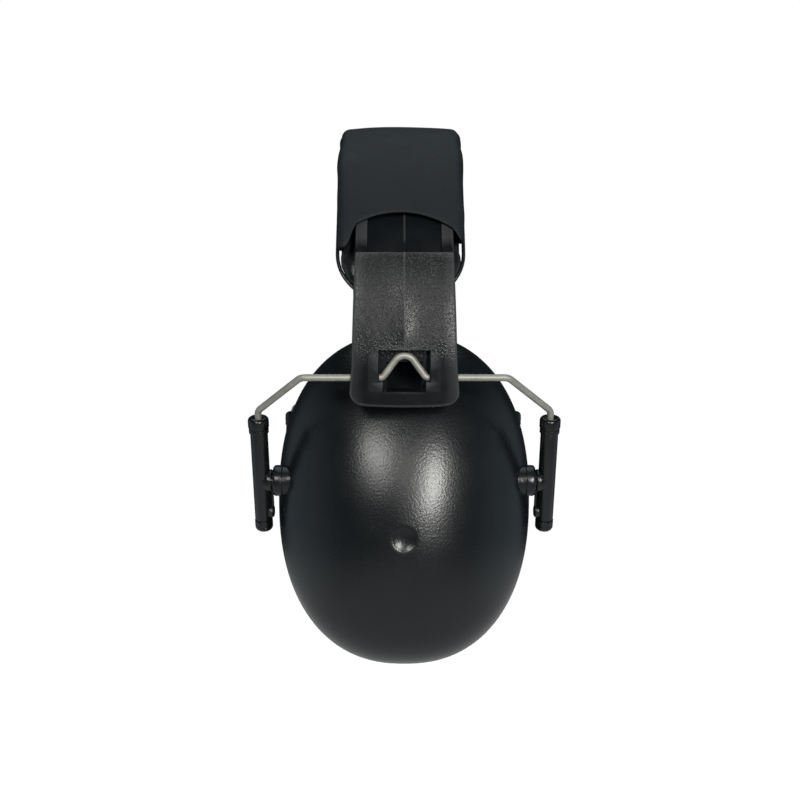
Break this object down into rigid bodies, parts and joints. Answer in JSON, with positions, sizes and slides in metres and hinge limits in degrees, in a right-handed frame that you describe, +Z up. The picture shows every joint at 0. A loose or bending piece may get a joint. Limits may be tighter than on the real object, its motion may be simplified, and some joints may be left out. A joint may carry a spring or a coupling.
{
  "type": "hearing protection earmuffs",
  "caption": "Child-size passive hearing protection earmuffs: padded sprung headband with folding, sliding wire yokes that carry two deep oval ear cups with soft cushions.",
  "frame": {"origin": "middle of the crown pad's inner surface, where it rests on the top of the head", "axes": "+Z up, +X towards the wearer's left ear, the wearer faces -Y"},
  "size_m": [0.1382, 0.0926, 0.1729],
  "materials": {
    "band_plastic": "black nylon with a fine spark-eroded texture, smoother at the lower ends",
    "cover_vinyl": "matte charcoal soft vinyl over foam",
    "lining_vinyl": "glossy black vinyl lining with welded edges",
    "cup_plastic": "satin black moulded plastic with a faint leather grain",
    "slider_plastic": "semi-gloss black tube",
    "collar_plastic": "semi-gloss black moulded caps and collars",
    "inner_plastic": "plain black moulded plastic",
    "spring_wire": "drawn stainless spring wire, satin with fine lengthwise marks",
    "stopper_metal": "plain turned steel",
    "cushion_vinyl": "soft black vinyl with a welded edge seam",
    "cushion_foam": "grey polyurethane foam",
    "acoustic_foam": "charcoal open-cell foam"
  },
  "bodies": {
    "headband_frame": {"headband": "band_plastic", "pad_cover_outer": "cover_vinyl", "pad_cover_lining": "lining_vinyl", "pad_foam": "cushion_foam"},
    "left_yoke": {"left_yoke_wire": "spring_wire", "left_front_wire_stopper": "stopper_metal", "left_rear_wire_stopper": "stopper_metal"},
    "left_sliders": {"left_front_slider_tube": "slider_plastic", "left_rear_slider_tube": "slider_plastic", "left_front_tube_collar": "collar_plastic", "left_rear_tube_collar": "collar_plastic", "left_front_tube_cap": "collar_plastic", "left_rear_tube_cap": "collar_plastic"},
    "left_pivots": {"left_front_pivot_pin": "stopper_metal", "left_rear_pivot_pin": "stopper_metal"},
    "left_cup": {"left_cup_shell": "cup_plastic", "left_base_plate": "inner_plastic", "left_acoustic_foam": "acoustic_foam", "left_cushion_ring": "inner_plastic", "left_cushion_foam": "cushion_foam", "left_cushion_skin": "cushion_vinyl"},
    "right_yoke": {"right_yoke_wire": "spring_wire", "right_front_wire_stopper": "stopper_metal", "right_rear_wire_stopper": "stopper_metal"},
    "right_sliders": {"right_front_slider_tube": "slider_plastic", "right_rear_slider_tube": "slider_plastic", "right_front_tube_collar": "collar_plastic", "right_rear_tube_collar": "collar_plastic", "right_front_tube_cap": "collar_plastic", "right_rear_tube_cap": "collar_plastic"},
    "right_pivots": {"right_front_pivot_pin": "stopper_metal", "right_rear_pivot_pin": "stopper_metal"},
    "right_cup": {"right_cup_shell": "cup_plastic", "right_base_plate": "inner_plastic", "right_acoustic_foam": "acoustic_foam", "right_cushion_ring": "inner_plastic", "right_cushion_foam": "cushion_foam", "right_cushion_skin": "cushion_vinyl"}
  },
  "joints": [
    {"name": "left_yoke_swing", "type": "hinge", "parent": "headband_frame", "child": "left_yoke", "pos_m": [0.06527, 0, -0.0721], "axis": [0, 1, 0], "range_deg": [0, 75]},
    {"name": "left_height_slide", "type": "slide", "parent": "left_yoke", "child": "left_sliders", "axis": [0.3907, 0, 0.9205], "range_m": [-0.018, 0]},
    {"name": "left_pivot_turn", "type": "hinge", "parent": "left_sliders", "child": "left_pivots", "pos_m": [0.0435, 0, -0.1028], "axis": [0, 1, 0], "range_deg": [-76, 1]},
    {"name": "left_cup_tilt", "type": "hinge", "parent": "left_pivots", "child": "left_cup", "pos_m": [0.0435, 0, -0.1028], "axis": [0, 1, 0], "range_deg": [-7, 5]},
    {"name": "right_yoke_swing", "type": "hinge", "parent": "headband_frame", "child": "right_yoke", "pos_m": [-0.06527, 0, -0.0721], "axis": [0, -1, 0], "range_deg": [0, 75]},
    {"name": "right_height_slide", "type": "slide", "parent": "right_yoke", "child": "right_sliders", "axis": [-0.3907, 0, 0.9205], "range_m": [-0.018, 0]},
    {"name": "right_pivot_turn", "type": "hinge", "parent": "right_sliders", "child": "right_pivots", "pos_m": [-0.0435, 0, -0.1028], "axis": [0, -1, 0], "range_deg": [-76, 1]},
    {"name": "right_cup_tilt", "type": "hinge", "parent": "right_pivots", "child": "right_cup", "pos_m": [-0.0435, 0, -0.1028], "axis": [0, -1, 0], "range_deg": [-7, 5]}
  ],
  "couplings": [
    {"joint": "left_pivot_turn", "follows": "left_yoke_swing", "ratio": -1},
    {"joint": "right_pivot_turn", "follows": "right_yoke_swing", "ratio": -1}
  ]
}
